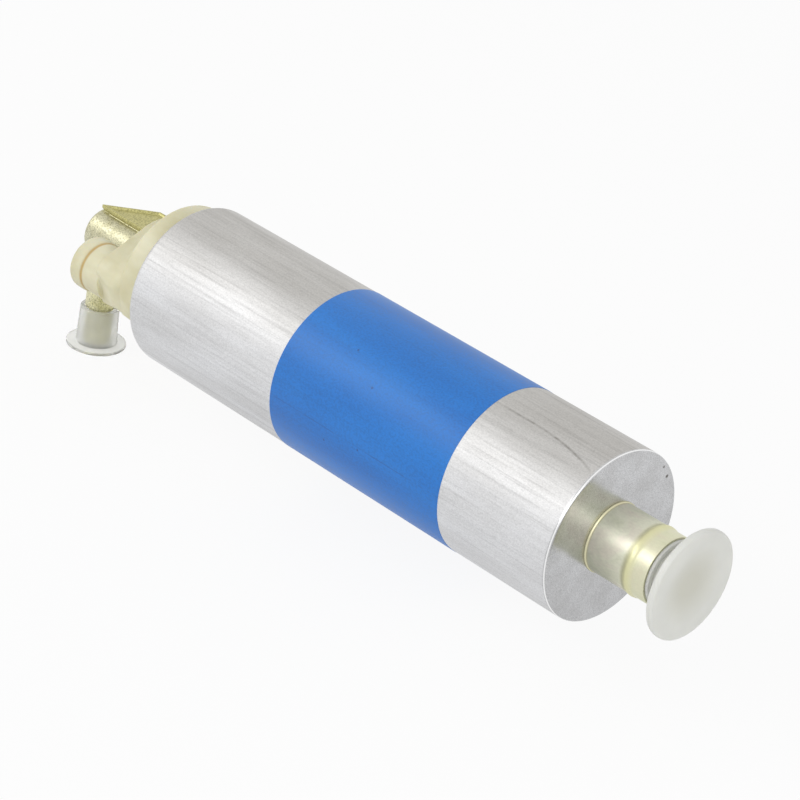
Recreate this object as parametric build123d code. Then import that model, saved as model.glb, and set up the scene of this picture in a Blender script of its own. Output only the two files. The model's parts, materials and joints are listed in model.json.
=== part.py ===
from build123d import *
import os
from math import cos, pi, radians, sin, sqrt

# Inline electric fuel pump. Lengths in millimetres, angles in degrees. The pump axis is X with the
# inlet at +X, the outlet leg points to -Z and the two terminals lie at -Y and +Y of the outlet end.

# Clearances, the overrun of every open cut and a quarter turn
slip = 0.05
running_gap = 0.04
cut_overrun = 2.0
quarter_turn = 90.0

# Housing can, drawn with a closed inlet end and a rolled lip at the outlet end
can_radius = 21.5
can_length = 144.4
can_wall = 1.2
can_end_wall = 1.6
can_edge_radius = 0.8
lip_length = 1.2
lip_width = 1.6
lip_roll_radius = 0.5

# Colour sleeve round the can
sleeve_wall = 0.15
sleeve_length = 57.2
sleeve_offset = 9.7

# Inlet tube, its gasket and the spacer that keeps the strainer in place
inlet_radius = 8.7
inlet_bore = 7.2
inlet_length = 17.5
inlet_root_height = 0.6
inlet_root_length = 0.7
inlet_tip_step = 0.1
inlet_mouth_chamfer = 0.8
hose_bead_place = 12.3
hose_bead_height = 0.4
hose_bead_roll = 1.0
tube_flange_width = 3.3
tube_flange_length = 1.6
gasket_length = 0.8
spacer_wall = 1.4
spacer_length = 15.1

# Strainer
strainer_flange_length = 1.5
cage_radius = 15.0
cage_wall = 1.4
cage_length = 8.5
cage_end_length = 1.5
cage_window_count = 6
cage_rib_width = 3.0
mesh_wall = 0.4

# Pump stage: an inner rotor with six teeth turns inside an outer rotor with seven
inner_teeth = 6
rotor_eccentricity = 1.3
lobe_circle_radius = 10.5
lobe_radius = 2.8
lobe_root_clearance = 0.08
tooth_clearance = 0.08
outer_rotor_radius = 13.0
tooth_profile_steps = 24
inlet_plate_length = 5.0
pump_ring_length = 8.0
port_plate_length = 5.0
port_radius = 8.0
port_width = 3.2
port_span = 112.0
inlet_port_angle = 0.0
outlet_port_angle = 180.0
pump_screw_count = 4
pump_screw_angle = 45.0
pump_screw_edge = 0.55
pump_screw_radius = 1.4
pump_screw_head_radius = 2.5
pump_screw_head_length = 1.8
screw_slot_width = 0.7
screw_slot_depth = 0.8

# Relief valve in the pump ring
relief_chamber_radius = 3.0
relief_ball_radius = 2.4
relief_seat_radius = 1.6
relief_spring_wire = 0.25
relief_spring_radius = 1.7
relief_spring_turns = 3

# Motor shaft and bushes
shaft_radius = 2.5
shaft_flat = 1.9
shaft_tail = 3.5
bush_wall = 2.0

# Armature
air_gap = 0.5
slot_count = 8
slot_lip = 1.4
slot_pocket_radius = 2.5
slot_opening = 1.8
coil_slack = 0.2
end_turn_length = 6.5
end_turn_inner = 5.0
end_turn_inset = 1.1
end_turn_round_share = 0.3

# Commutator
commutator_radius = 7.0
commutator_length = 11.0
commutator_segment_depth = 2.0
commutator_slot_angle = 4.0
commutator_hub_radius = 5.0

# Field magnets, their clips and the flux ring, with the places of magnets and clips about the axis
magnet_places = {"upper": 90.0, "lower": 270.0}
clip_places = {"right": 0.0, "left": 180.0}
flux_ring_wall = 2.0
magnet_depth = 4.4
magnet_span = 136.0
magnet_rear_inset = 4.0
magnet_front_inset = 8.0
core_inset = 5.5
clip_thickness = 0.6
clip_base_span = 30.0

# Brush holder
holder_length = 25.0
holder_wall = 1.6
holder_floor_length = 4.0
holder_floor_place = 15.0
brush_place = 5.0
brush_box_wall = 1.0
brush_box_start = 8.6
holder_port_radius = 2.6
holder_port_circle = 12.0
holder_port_count = 4
holder_port_angle = 45.0

# Brushes and their springs
brush_width = 6.0
brush_height = 5.0
brush_spring_length = 3.7
brush_spring_wire = 0.25
brush_spring_radius = 1.7
brush_spring_turns = 3
strap_thickness = 0.6
strap_width = 5.0

# Outlet end cover
plug_length = 15.0
cover_wall = 1.5
cover_floor_length = 5.0
seal_groove_width = 1.9
seal_groove_depth = 1.5
seal_section = 0.75
cover_ring_inset = 0.7
cover_ring_length = 6.2
cover_base_length = 0.9
cover_cut_depth = 7.6
pedestal_base_inset = 2.4
pedestal_hub = 12.4
pedestal_lobe = 7.2
pedestal_wall_start = 12.8
pedestal_length = 15.0
flank_place = 2.0
flank_inset = 1.6
flank_lean_angle = 21.0
flank_draft_angle = 10.5
boss_drop = 1.0
boss_radius = 6.6
boss_root = 13.8
boss_length = 19.8
collar_radius = 7.0
collar_gap = 0.6
collar_length = 4.2
collar_round = 0.9
collar_recess_radius = 5.6
collar_recess_depth = 4.0
cover_edge_round = 0.5

# Outlet elbow
head_radius = 6.6
head_length = 36.8
head_round = 1.2
elbow_flange_width = 2.0
elbow_flange_length = 1.5
elbow_flange_place = 2.0
valve_chamber_radius = 4.2
valve_chamber_length = 12.5
outlet_bore = 3.2
leg_radius = 4.0
leg_place = 34.2
leg_exposed = 21.0
leg_socket_radius = 4.5
leg_socket_start = 3.2
leg_socket_end = 7.4
leg_pilot_step = 0.3
leg_pilot_length = 9.6
# the narrower end starts a little outside the cap's mouth
leg_pilot_lead = 0.2
lug_gap = 0.3
lug_thickness = 1.1
lug_rim = 0.9
lug_recess = 0.5
lug_tip = 36.2
lug_near_start = 33.0
lug_root_gap = 1.0
lug_near_side = 2.1
lug_tip_width = 0.5
lug_far_side = 9.4
lug_far_start = 25.5
lug_web_side = 1.6

# Check valve
valve_seat_length = 2.5
valve_seat_bore = 2.4
valve_retainer_length = 1.5
valve_retainer_bore = 5.5
poppet_side_gap = 0.5
poppet_length = 1.8
poppet_stem_radius = 1.2
poppet_stem_length = 4.0
poppet_nose_length = 1.2
valve_spring_wire = 0.3
valve_spring_radius = 2.6
valve_spring_turns = 4

# Terminals: radius of each stud, half the width across flats and height of each nut, and how far
# each washer stays inside its collar
stud_names = ("positive", "negative")
stud_sides = (1, -1)
stud_radii = (2.5, 2.0)
# a nut and its stud meet at the thread's root, so neither is sunk into the other
stud_root_radii = (2.1, 1.65)
stud_neck_length = 0.3
nut_half_widths = (4.0, 3.5)
nut_lengths = (3.2, 3.0)
nut_sides = 6
washer_gaps = (0.6, 1.1)
stud_head_radius = 4.2
stud_head_length = 1.5
stud_head_gap = 0.85
stud_reach = 2.9
stud_tip_chamfer = 0.4
washer_length = 0.8

# Transit caps
plug_shank_wall = 1.3
plug_shank_length = 14.0
plug_shoulder_radius = 8.1
plug_shoulder_length = 0.8
plug_neck_radius = 6.8
plug_flange_place = 22.6
plug_flange_radius = 13.6
plug_flange_length = 1.9
plug_flange_round = 0.7
plug_dish_radius = 6.6
plug_dish_depth = 0.9
cap_wall = 1.4
cap_taper = 0.35
cap_flange_width = 2.5
cap_flange_length = 1.0
cap_floor = 1.4
cap_round = 0.4

# Places and radii worked out from these, along the axis from both ends of the can
inlet_face = can_length / 2
outlet_face = -can_length / 2
can_bore = can_radius - can_wall
part_radius = can_bore - slip
can_floor = inlet_face - can_end_wall
tube_flange_radius = inlet_radius + tube_flange_width
spacer_start = can_floor - spacer_length
strainer_start = spacer_start - strainer_flange_length
inlet_plate_start = strainer_start - inlet_plate_length
pump_ring_start = inlet_plate_start - pump_ring_length
port_plate_start = pump_ring_start - port_plate_length
pump_screw_circle = part_radius - pump_screw_head_radius - pump_screw_edge
relief_place = (outer_rotor_radius - rotor_eccentricity + part_radius) / 2
lip_end = outlet_face + lip_length
cover_inner_end = lip_end + plug_length
holder_end = cover_inner_end + holder_length
holder_floor_end = holder_end - holder_floor_place
holder_floor_start = holder_floor_end - holder_floor_length
brush_x = holder_end - brush_place
magnet_start = holder_end + magnet_rear_inset
magnet_end = port_plate_start - magnet_front_inset
core_start = magnet_start + core_inset
core_end = magnet_end - core_inset
flux_bore = part_radius - flux_ring_wall
magnet_outer = flux_bore - slip
magnet_inner = magnet_outer - magnet_depth
core_radius = magnet_inner - air_gap
slot_circle = core_radius - slot_lip - slot_pocket_radius
holder_bore = part_radius - holder_wall
strap_outer = sqrt((holder_bore - slip) ** 2 - (strap_width / 2) ** 2)
strap_inner = strap_outer - strap_thickness
brush_box_end = strap_inner - slip
brush_inner = commutator_radius + slip
brush_outer = strap_inner - slip - brush_spring_length
lip_bore = can_bore - lip_width
cover_floor = lip_end + cover_floor_length
cavity_radius = part_radius - cover_wall
cover_ring_radius = can_radius - cover_ring_inset
pedestal_end = outlet_face - pedestal_length
boss_offset = cavity_radius - stud_head_radius - stud_head_gap
lobe_root_radius = lobe_circle_radius - lobe_radius + 2 * rotor_eccentricity + lobe_root_clearance
head_end = outlet_face - head_length
leg_x = outlet_face - leg_place
leg_end = -(leg_exposed + leg_pilot_length)
leg_pilot_radius = leg_radius - leg_pilot_step
elbow_flange_radius = head_radius + elbow_flange_width
elbow_flange_start = outlet_face - elbow_flange_place
elbow_flange_end = elbow_flange_start + elbow_flange_length
valve_seat_end = elbow_flange_end + valve_seat_length
valve_retainer_end = valve_seat_end + valve_retainer_length
valve_chamber_end = elbow_flange_end - valve_chamber_length
collar_start = outlet_face - boss_length - collar_gap
collar_end = collar_start - collar_length
collar_floor = collar_end + collar_recess_depth


def across(x):
    """Plane square to the pump axis, with Y and Z as its own axes."""
    return Plane.YZ.offset(x)


def rod(radius, start, end, y=0, z=0):
    """Round bar along X."""
    return extrude(across(start) * Pos(y, z) * Circle(radius), amount=end - start)


def tube(outer, inner, start, end, y=0, z=0):
    """Round pipe along X."""
    return extrude(across(start) * Pos(y, z) * (Circle(outer) - Circle(inner)), amount=end - start)


def turned(*points):
    """Part turned about the pump axis from an outline of (x, radius) points."""
    return revolve(make_face(Polyline(*points, close=True)), axis=Axis.X)


def around(count, shape, first_angle=0):
    """Copies of a shape spread evenly about the pump axis."""
    return [Rot(X=first_angle + 360 * i / count) * shape for i in range(count)]


def sector(outer, inner, middle, span):
    """Ring segment in the (y, z) plane, with its middle at an angle from +Y."""
    outside = CenterArc((0, 0), outer, middle - span / 2, span)
    inside = CenterArc((0, 0), inner, middle - span / 2, span)
    sides = [Line(outside @ 0, inside @ 0), Line(outside @ 1, inside @ 1)]
    return make_face([outside, inside, *sides])


def coil(mean_radius, wire_radius, turns, length):
    """Compression spring standing on the XY plane, as long as its wire reaches."""
    rise = length - 2 * wire_radius
    path = Helix(pitch=rise / turns, height=rise, radius=mean_radius)
    section = Plane(origin=path @ 0, z_dir=path % 0) * Circle(wire_radius)
    return Pos(0, 0, wire_radius) * sweep(section, path=path, is_frenet=True)


def seal_ring(middle_radius, x):
    """Rubber ring of round section."""
    return Pos(x, 0, 0) * Rot(Y=quarter_turn) * Torus(middle_radius, seal_section)


def make_housing_can():
    can = rod(can_radius, outlet_face, inlet_face)
    can = fillet(can.edges().filter_by(GeomType.CIRCLE).group_by(Axis.X)[-1], can_edge_radius)
    can = fillet(can.edges().filter_by(GeomType.CIRCLE).group_by(Axis.X)[0], lip_roll_radius)
    can -= rod(can_bore, lip_end, can_floor)
    can -= rod(lip_bore, outlet_face - cut_overrun, lip_end + cut_overrun)
    can -= rod(inlet_radius + slip, can_floor - cut_overrun, inlet_face + cut_overrun)
    return can


def make_colour_sleeve():
    start = sleeve_offset - sleeve_length / 2
    return tube(can_radius + sleeve_wall, can_radius, start, start + sleeve_length)


def make_inlet_tube():
    flange_end = can_floor - gasket_length
    tip = inlet_face + inlet_length
    bead = inlet_face + hose_bead_place
    bead_middle = inlet_radius + hose_bead_height - hose_bead_roll
    body = rod(tube_flange_radius, flange_end - tube_flange_length, flange_end)
    body += rod(inlet_radius, flange_end, bead)
    body += rod(inlet_radius - inlet_tip_step, bead, tip)
    body += rod(inlet_radius + inlet_root_height, inlet_face, inlet_face + inlet_root_length)
    body += Pos(bead, 0, 0) * Rot(Y=quarter_turn) * Torus(bead_middle, hose_bead_roll)
    body -= rod(inlet_bore, flange_end - tube_flange_length - cut_overrun, tip + cut_overrun)
    mouth = body.edges().filter_by(GeomType.CIRCLE).group_by(Axis.X)[-1].sort_by(SortBy.RADIUS)[0]
    return chamfer(mouth, inlet_mouth_chamfer)


def make_inlet_gasket():
    return tube(tube_flange_radius, inlet_radius + slip, can_floor - gasket_length, can_floor)


def make_spacer_sleeve():
    return tube(part_radius, part_radius - spacer_wall, spacer_start, can_floor)


def make_strainer_cage():
    cage_end = spacer_start + cage_length
    inner = cage_radius - cage_wall
    cage = tube(part_radius - spacer_wall - slip, inner, strainer_start, spacer_start)
    cage += tube(part_radius, inner, strainer_start, spacer_start)
    cage += tube(cage_radius, inner, spacer_start, cage_end)
    cage += rod(cage_radius, cage_end, cage_end + cage_end_length)
    window_width = 2 * pi * cage_radius / cage_window_count - cage_rib_width
    window = Pos(spacer_start + cage_length / 2, 0, cage_radius)
    window *= Box(cage_length - cage_wall, window_width, 2 * cage_wall + cut_overrun)
    cage -= around(cage_window_count, window)
    return cage


def make_strainer_mesh():
    outer = cage_radius - cage_wall - slip
    return tube(outer, outer - mesh_wall, spacer_start, spacer_start + cage_length)


def port(start, end, middle):
    """Kidney-shaped passage through a pump plate."""
    arc = CenterArc((0, 0), port_radius, middle - port_span / 2, port_span)
    return extrude(across(start) * SlotArc(arc, port_width), amount=end - start)


def screw_places():
    return around(pump_screw_count, Pos(0, pump_screw_circle, 0), pump_screw_angle)


def make_pump_inlet_plate():
    start = inlet_plate_start - cut_overrun
    end = strainer_start + cut_overrun
    head_start = strainer_start - pump_screw_head_length
    plate = rod(part_radius, inlet_plate_start, strainer_start)
    plate -= port(start, end, inlet_port_angle)
    plate -= rod(shaft_radius + running_gap, start, inlet_plate_start + shaft_tail)
    plate -= rod(relief_seat_radius, start, end, 0, -relief_place)
    for place in screw_places():
        plate -= place * rod(pump_screw_radius + slip, start, head_start)
        plate -= place * rod(pump_screw_head_radius + slip, head_start, end)
    return plate


def make_pump_ring():
    start = pump_ring_start - cut_overrun
    end = inlet_plate_start + cut_overrun
    ring = rod(part_radius, pump_ring_start, inlet_plate_start)
    ring -= rod(outer_rotor_radius + running_gap, start, end, 0, rotor_eccentricity)
    ring -= rod(relief_chamber_radius, start, end, 0, -relief_place)
    for place in screw_places():
        ring -= place * rod(pump_screw_radius + slip, start, end)
    return ring


def make_pump_port_plate():
    start = port_plate_start - cut_overrun
    end = pump_ring_start + cut_overrun
    plate = rod(part_radius, port_plate_start, pump_ring_start)
    plate -= port(start, end, outlet_port_angle)
    plate -= rod(shaft_radius + bush_wall, start, end)
    plate -= rod(relief_seat_radius, start, end, 0, -relief_place)
    for place in screw_places():
        plate -= place * rod(pump_screw_radius + slip, start, end)
    return plate


def make_pump_screws():
    head_start = strainer_start - pump_screw_head_length
    screw = rod(pump_screw_radius, port_plate_start, head_start)
    screw += rod(pump_screw_head_radius, head_start, strainer_start)
    slot_middle = strainer_start - screw_slot_depth / 2
    screw -= Pos(slot_middle, 0, 0) * Box(screw_slot_depth, screw_slot_width, 2 * pump_screw_head_radius)
    return [place * screw for place in screw_places()]


def inner_rotor_point(angle):
    """Point of the inner rotor's outline: the path of an outer lobe's centre, moved in by the lobe."""
    turn = inner_teeth + 1
    y = lobe_circle_radius * cos(angle) + rotor_eccentricity * cos(turn * angle)
    z = lobe_circle_radius * sin(angle) + rotor_eccentricity * sin(turn * angle)
    slope_y = -lobe_circle_radius * sin(angle) - turn * rotor_eccentricity * sin(turn * angle)
    slope_z = lobe_circle_radius * cos(angle) + turn * rotor_eccentricity * cos(turn * angle)
    inward = (lobe_radius + tooth_clearance) / sqrt(slope_y**2 + slope_z**2)
    return (y - slope_z * inward, z + slope_y * inward)


def make_inner_rotor():
    """Star of equal teeth, with flats small enough to read as one smooth curve."""
    count = inner_teeth * tooth_profile_steps
    # the steps crowd into the valleys, where the path turns most sharply
    crowding = (inner_teeth + 1) * rotor_eccentricity / lobe_circle_radius
    steps = [2 * pi * i / count for i in range(count)]
    points = [inner_rotor_point(u + crowding * sin(inner_teeth * u) / inner_teeth) for u in steps]
    outline = make_face(Polyline(*points, close=True))
    start = pump_ring_start + running_gap
    end = inlet_plate_start - running_gap
    rotor = extrude(across(start) * Rot(Z=quarter_turn) * outline, amount=end - start)
    return rotor - shaft_bore(shaft_radius + running_gap / 2, start - cut_overrun, end + cut_overrun)


def shaft_bore(radius, start, end):
    """Round bar with the drive flat of the shaft."""
    bar = rod(radius, start, end)
    flat_height = shaft_flat + radius - shaft_radius
    cutter = Pos((start + end) / 2, 0, flat_height + radius) * Box(end - start, 2 * radius, 2 * radius)
    return bar - cutter


def make_outer_rotor():
    lobes = inner_teeth + 1
    start = pump_ring_start + running_gap
    end = inlet_plate_start - running_gap
    rotor = rod(outer_rotor_radius, start, end)
    rotor -= rod(lobe_root_radius, start - cut_overrun, end + cut_overrun)
    lobe = rod(lobe_radius, start, end, 0, lobe_circle_radius)
    for copy in around(lobes, lobe):
        rotor += copy & rod(outer_rotor_radius - running_gap, start, end)
    return Pos(0, 0, rotor_eccentricity) * rotor


def relief_ball_x():
    """Middle of the ball where it rests on the edge of its seat."""
    return pump_ring_start + sqrt((relief_ball_radius + slip) ** 2 - relief_seat_radius**2)


def make_relief_ball():
    return Pos(relief_ball_x(), 0, -relief_place) * Sphere(relief_ball_radius)


def make_relief_spring():
    rest = sqrt(relief_ball_radius**2 - (relief_spring_radius - relief_spring_wire) ** 2)
    start = relief_ball_x() + rest + slip
    length = inlet_plate_start - start
    spring = coil(relief_spring_radius, relief_spring_wire, relief_spring_turns, length)
    return Pos(start, 0, -relief_place) * Rot(Y=quarter_turn) * spring


def make_motor_shaft():
    drive_end = inlet_plate_start + shaft_tail - slip
    shaft = rod(shaft_radius, holder_floor_start, pump_ring_start)
    shaft += shaft_bore(shaft_radius, pump_ring_start, drive_end)
    return shaft


def make_drive_bush():
    return tube(shaft_radius + bush_wall, shaft_radius + running_gap, port_plate_start, pump_ring_start)


def make_tail_bush():
    return tube(shaft_radius + bush_wall, shaft_radius + running_gap, holder_floor_start, holder_floor_end)


def make_armature_core():
    core = Circle(core_radius) - Circle(shaft_radius)
    pocket = Pos(slot_circle, 0) * Circle(slot_pocket_radius)
    opening_length = core_radius + cut_overrun - slot_circle
    pocket += Pos(slot_circle + opening_length / 2, 0) * Rectangle(opening_length, slot_opening)
    for i in range(slot_count):
        core -= Rot(Z=360 * i / slot_count) * pocket
    return extrude(across(core_start) * core, amount=core_end - core_start)


def end_turns(start, end):
    """Ring of wire at one end of the core."""
    outer = core_radius - end_turn_inset
    ring = tube(outer, end_turn_inner, start, end)
    return fillet(ring.edges().filter_by(GeomType.CIRCLE), end_turn_round_share * (outer - end_turn_inner))


def make_armature_windings():
    wire_start = core_start - end_turn_length / 2
    wire_end = core_end + end_turn_length / 2
    wire = rod(slot_pocket_radius - coil_slack, wire_start, wire_end, slot_circle)
    windings = end_turns(core_start - end_turn_length, core_start)
    windings += end_turns(core_end, core_end + end_turn_length)
    windings += around(slot_count, wire)
    return windings


def make_commutator_hub():
    start = brush_x - commutator_length / 2
    return tube(commutator_hub_radius, shaft_radius, start, start + commutator_length)


def make_commutator_segments():
    start = brush_x - commutator_length / 2
    span = 360 / slot_count - commutator_slot_angle
    face = sector(commutator_radius, commutator_radius - commutator_segment_depth, 0, span)
    segment = extrude(across(start) * face, amount=commutator_length)
    return around(slot_count, segment)


def make_flux_ring():
    return tube(part_radius, flux_bore, holder_end, port_plate_start)


def make_magnet(middle):
    face = sector(magnet_outer, magnet_inner, middle, magnet_span)
    return extrude(across(magnet_start) * face, amount=magnet_end - magnet_start)


def make_magnet_clip(middle):
    """Sprung channel wedged between the ends of the two magnets."""
    gap = 180 - magnet_span
    leg_angle = (gap - clip_base_span) / 2
    web = sector(magnet_outer, magnet_outer - clip_thickness, middle, clip_base_span + leg_angle)
    clip = web
    for side in (-1, 1):
        leg_middle = middle + side * (clip_base_span + leg_angle) / 2
        clip += sector(magnet_outer, magnet_inner, leg_middle, leg_angle / 2)
    return extrude(across(magnet_start) * clip, amount=magnet_end - magnet_start)


def make_brush_holder():
    holder = tube(part_radius, holder_bore, cover_inner_end, holder_end)
    holder += rod(holder_bore, holder_floor_start, holder_floor_end)
    box_outer_width = brush_width + 2 * (brush_box_wall + slip)
    box_outer_height = brush_height + 2 * (brush_box_wall + slip)
    box_length = brush_box_end - brush_box_start
    arm_length = brush_x + box_outer_width / 2 - holder_floor_end
    for side in stud_sides:
        middle_y = side * (brush_box_start + brush_box_end) / 2
        arm_x = holder_floor_end + arm_length / 2
        box = Pos(arm_x, middle_y, 0) * Box(arm_length, box_length, box_outer_height)
        channel_length = arm_length - box_outer_width
        channel_x = holder_floor_end + channel_length / 2
        box -= Pos(channel_x, middle_y, 0) * Box(channel_length, box_length, brush_height)
        holder += box
        holder -= Pos(brush_x, middle_y, 0) * Box(
            brush_width + 2 * slip, box_length + cut_overrun, brush_height + 2 * slip
        )
        strap_y = side * (strap_inner + strap_outer) / 2
        holder -= Pos((holder_floor_start + holder_floor_end) / 2, strap_y, 0) * Box(
            holder_floor_length, strap_thickness + 2 * slip, strap_width + 2 * slip
        )
    holder -= rod(shaft_radius + bush_wall, holder_floor_start, holder_floor_end)
    passage = rod(holder_port_radius, holder_floor_start, holder_floor_end, 0, holder_port_circle)
    holder -= around(holder_port_count, passage, holder_port_angle)
    return holder


def make_brush(side):
    middle = (brush_inner + brush_outer) / 2
    brush = Pos(brush_x, side * middle, 0) * Box(brush_width, brush_outer - brush_inner, brush_height)
    return brush - rod(brush_inner, brush_x - brush_width, brush_x + brush_width)


def make_brush_spring(side):
    spring = coil(brush_spring_radius, brush_spring_wire, brush_spring_turns, brush_spring_length)
    return Pos(brush_x, side * (brush_outer + slip / 2), 0) * Rot(X=-side * quarter_turn) * spring


def make_contact_strap(side):
    """Strip from the inner end of a terminal stud to the back of the brush spring."""
    foot_start = cover_floor + stud_head_length
    strip_end = brush_x + brush_width / 2
    middle_y = side * (strap_inner + strap_outer) / 2
    strip_middle = (foot_start + strip_end) / 2
    strap = Pos(strip_middle, middle_y, 0) * Box(strip_end - foot_start, strap_thickness, strap_width)
    foot_inner = boss_offset - stud_head_radius / 2
    foot_middle = side * (foot_inner + strap_outer) / 2
    strap += Pos(foot_start + strap_thickness / 2, foot_middle, 0) * Box(
        strap_thickness, strap_outer - foot_inner, strap_width
    )
    return strap


def cover_outline(hub, lobe):
    """Outline round the hub and both terminal bosses."""
    circles = Circle(hub).edges()
    for side in stud_sides:
        circles += (Pos(side * boss_offset, -boss_drop) * Circle(lobe)).edges()
    return make_hull(circles)


def make_pedestal():
    """Raised body of the cover, drawn in from the ring to the outline round the bosses."""
    ring_end = outlet_face - cover_ring_length
    wall_start = outlet_face - pedestal_wall_start
    wide = across(ring_end) * cover_outline(cover_ring_radius - pedestal_base_inset, pedestal_lobe)
    narrow = across(wall_start) * cover_outline(pedestal_hub, pedestal_lobe)
    pedestal = loft([narrow, wide], ruled=True)
    pedestal += extrude(narrow, amount=wall_start - pedestal_end, dir=(-1, 0, 0))
    return pedestal & rod(cover_ring_radius - slip, pedestal_end, ring_end)


def flank_cutter(side):
    """What is cut away beside the pedestal, leaving a drafted flat under each terminal boss."""
    lean = radians(flank_lean_angle)
    draft = radians(flank_draft_angle)
    facing = (-sin(draft), side * cos(draft) * cos(lean), -cos(draft) * sin(lean))
    flank_side = side * (cover_ring_radius - flank_inset)
    corner = (outlet_face - flank_place, flank_side, -cover_cut_depth)
    flank = Plane(origin=corner, z_dir=facing)
    return extrude(flank * Rectangle(2 * can_radius, 2 * can_radius), amount=can_radius)


def make_cover_body():
    """Outside of the cover: ring, pedestal and bosses, cut flat below to clear the outlet hose."""
    ring_end = outlet_face - cover_ring_length
    body = rod(cover_ring_radius, ring_end, outlet_face)
    body = fillet(body.edges().filter_by(GeomType.CIRCLE).group_by(Axis.X)[0], cover_edge_round)
    body += make_pedestal()
    cut_length = cover_ring_length + pedestal_length
    cut_x = outlet_face - cover_base_length - cut_length / 2
    below = Pos(cut_x, 0, -cover_cut_depth - can_radius / 2)
    body -= below * Box(cut_length, 2 * can_radius, can_radius)
    for side in stud_sides:
        body -= flank_cutter(side)
    for side in stud_sides:
        centre = (side * boss_offset, -boss_drop)
        body += rod(boss_radius, collar_start, outlet_face - boss_root, *centre)
        collar = rod(collar_radius, collar_end, collar_start, *centre)
        body += fillet(collar.edges().filter_by(GeomType.CIRCLE), collar_round)
    return body


def make_end_cover():
    cover = rod(part_radius, lip_end, cover_inner_end)
    cover += rod(lip_bore - slip, outlet_face, lip_end)
    cover += rod(lip_bore - slip, outlet_face - cover_base_length, outlet_face)
    cover += make_cover_body()
    cover -= rod(cavity_radius, cover_floor, cover_inner_end + cut_overrun)
    cover -= rod(elbow_flange_radius + slip, elbow_flange_start, cover_floor)
    cover -= rod(head_radius + slip, collar_end - cut_overrun, elbow_flange_start)
    groove_end = cover_floor - (cover_floor_length - seal_groove_width) / 2
    cover -= tube(can_radius, part_radius - seal_groove_depth, groove_end - seal_groove_width, groove_end)
    for side, stud in zip(stud_sides, stud_radii):
        centre = (side * boss_offset, -boss_drop)
        cover -= rod(stud + slip, collar_floor, cover_floor, *centre)
        cover -= rod(collar_recess_radius, collar_end - cut_overrun, collar_floor, *centre)
    return cover


def make_cover_seal():
    groove_middle = cover_floor - cover_floor_length / 2
    return seal_ring(can_bore - seal_section, groove_middle)


def head_groove_middle():
    return elbow_flange_start - seal_groove_width - slip


def lug_outline():
    """Anti-turn plate seen from above: it widens from the end of the head towards the cover."""
    tip = outlet_face - lug_tip
    root = pedestal_end - lug_root_gap
    return make_face(
        Polyline(
            (tip, lug_tip_width - lug_near_side),
            (outlet_face - lug_near_start, -lug_near_side),
            (root, -lug_near_side),
            (root, lug_far_side),
            (outlet_face - lug_far_start, lug_far_side),
            close=True,
        )
    )


def make_lug():
    """Plate with a raised rim, on a web that joins it to the head."""
    bottom = head_radius + lug_gap
    outline = lug_outline()
    plate = extrude(Pos(0, 0, bottom) * outline, amount=lug_thickness)
    inner_outline = offset(outline, -lug_rim, kind=Kind.INTERSECTION)
    plate -= extrude(Pos(0, 0, bottom + lug_thickness - lug_recess) * inner_outline, amount=lug_thickness)
    web_start = outlet_face - lug_near_start
    web_end = pedestal_end - lug_root_gap
    web = Pos((web_start + web_end) / 2, 0, bottom / 2) * Box(web_end - web_start, 2 * lug_web_side, bottom)
    return plate + (web - rod(head_radius - lug_thickness, head_end, outlet_face))


def make_leg():
    """Outlet leg with a rounded heel, brazed into a bevelled socket ring under the head."""
    leg = Pos(leg_x, 0, 0) * Sphere(leg_radius)
    leg += extrude(Pos(leg_x, 0) * Circle(leg_radius), amount=leg_pilot_lead - leg_exposed)
    leg += extrude(Pos(leg_x, 0) * Circle(leg_pilot_radius), amount=leg_end)
    socket = Pos(leg_x, 0, -leg_socket_end) * Circle(leg_socket_radius)
    socket = extrude(socket, amount=leg_socket_end - leg_socket_start)
    return leg + chamfer(socket.edges().filter_by(GeomType.CIRCLE), leg_socket_radius - leg_radius)


def make_outlet_elbow():
    head = rod(head_radius, head_end, elbow_flange_start)
    head = fillet(head.edges().filter_by(GeomType.CIRCLE).group_by(Axis.X)[0], head_round)
    elbow = head + rod(elbow_flange_radius, elbow_flange_start, elbow_flange_end)
    elbow += make_leg()
    elbow += make_lug()
    elbow -= rod(valve_chamber_radius, valve_chamber_end, elbow_flange_end + cut_overrun)
    elbow -= rod(outlet_bore, leg_x, valve_chamber_end)
    elbow -= Pos(leg_x, 0, 0) * Sphere(outlet_bore)
    elbow -= extrude(Pos(leg_x, 0) * Circle(outlet_bore), amount=leg_end - cut_overrun)
    groove = head_groove_middle()
    half = seal_groove_width / 2
    elbow -= tube(elbow_flange_radius, head_radius - seal_groove_depth, groove - half, groove + half)
    return elbow


def make_elbow_seal():
    return seal_ring(head_radius + slip - seal_section, head_groove_middle())


def make_valve_seat():
    return tube(elbow_flange_radius, valve_seat_bore, elbow_flange_end, valve_seat_end)


def make_valve_retainer():
    return tube(elbow_flange_radius, valve_retainer_bore, valve_seat_end, valve_retainer_end)


def make_valve_poppet():
    face = elbow_flange_end - slip
    back = face - poppet_length
    nose_radius = valve_seat_bore - 2 * slip
    poppet_radius = valve_chamber_radius - poppet_side_gap
    return turned(
        (back - poppet_stem_length, 0),
        (back - poppet_stem_length, poppet_stem_radius),
        (back, poppet_stem_radius),
        (back, poppet_radius),
        (face, poppet_radius),
        (face, nose_radius),
        (face + poppet_nose_length, nose_radius / 2),
        (face + poppet_nose_length, 0),
    )


def make_valve_spring():
    back = elbow_flange_end - slip - poppet_length - slip
    length = back - valve_chamber_end
    spring = coil(valve_spring_radius, valve_spring_wire, valve_spring_turns, length)
    return Pos(back, 0, 0) * Rot(Y=-quarter_turn) * spring


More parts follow.
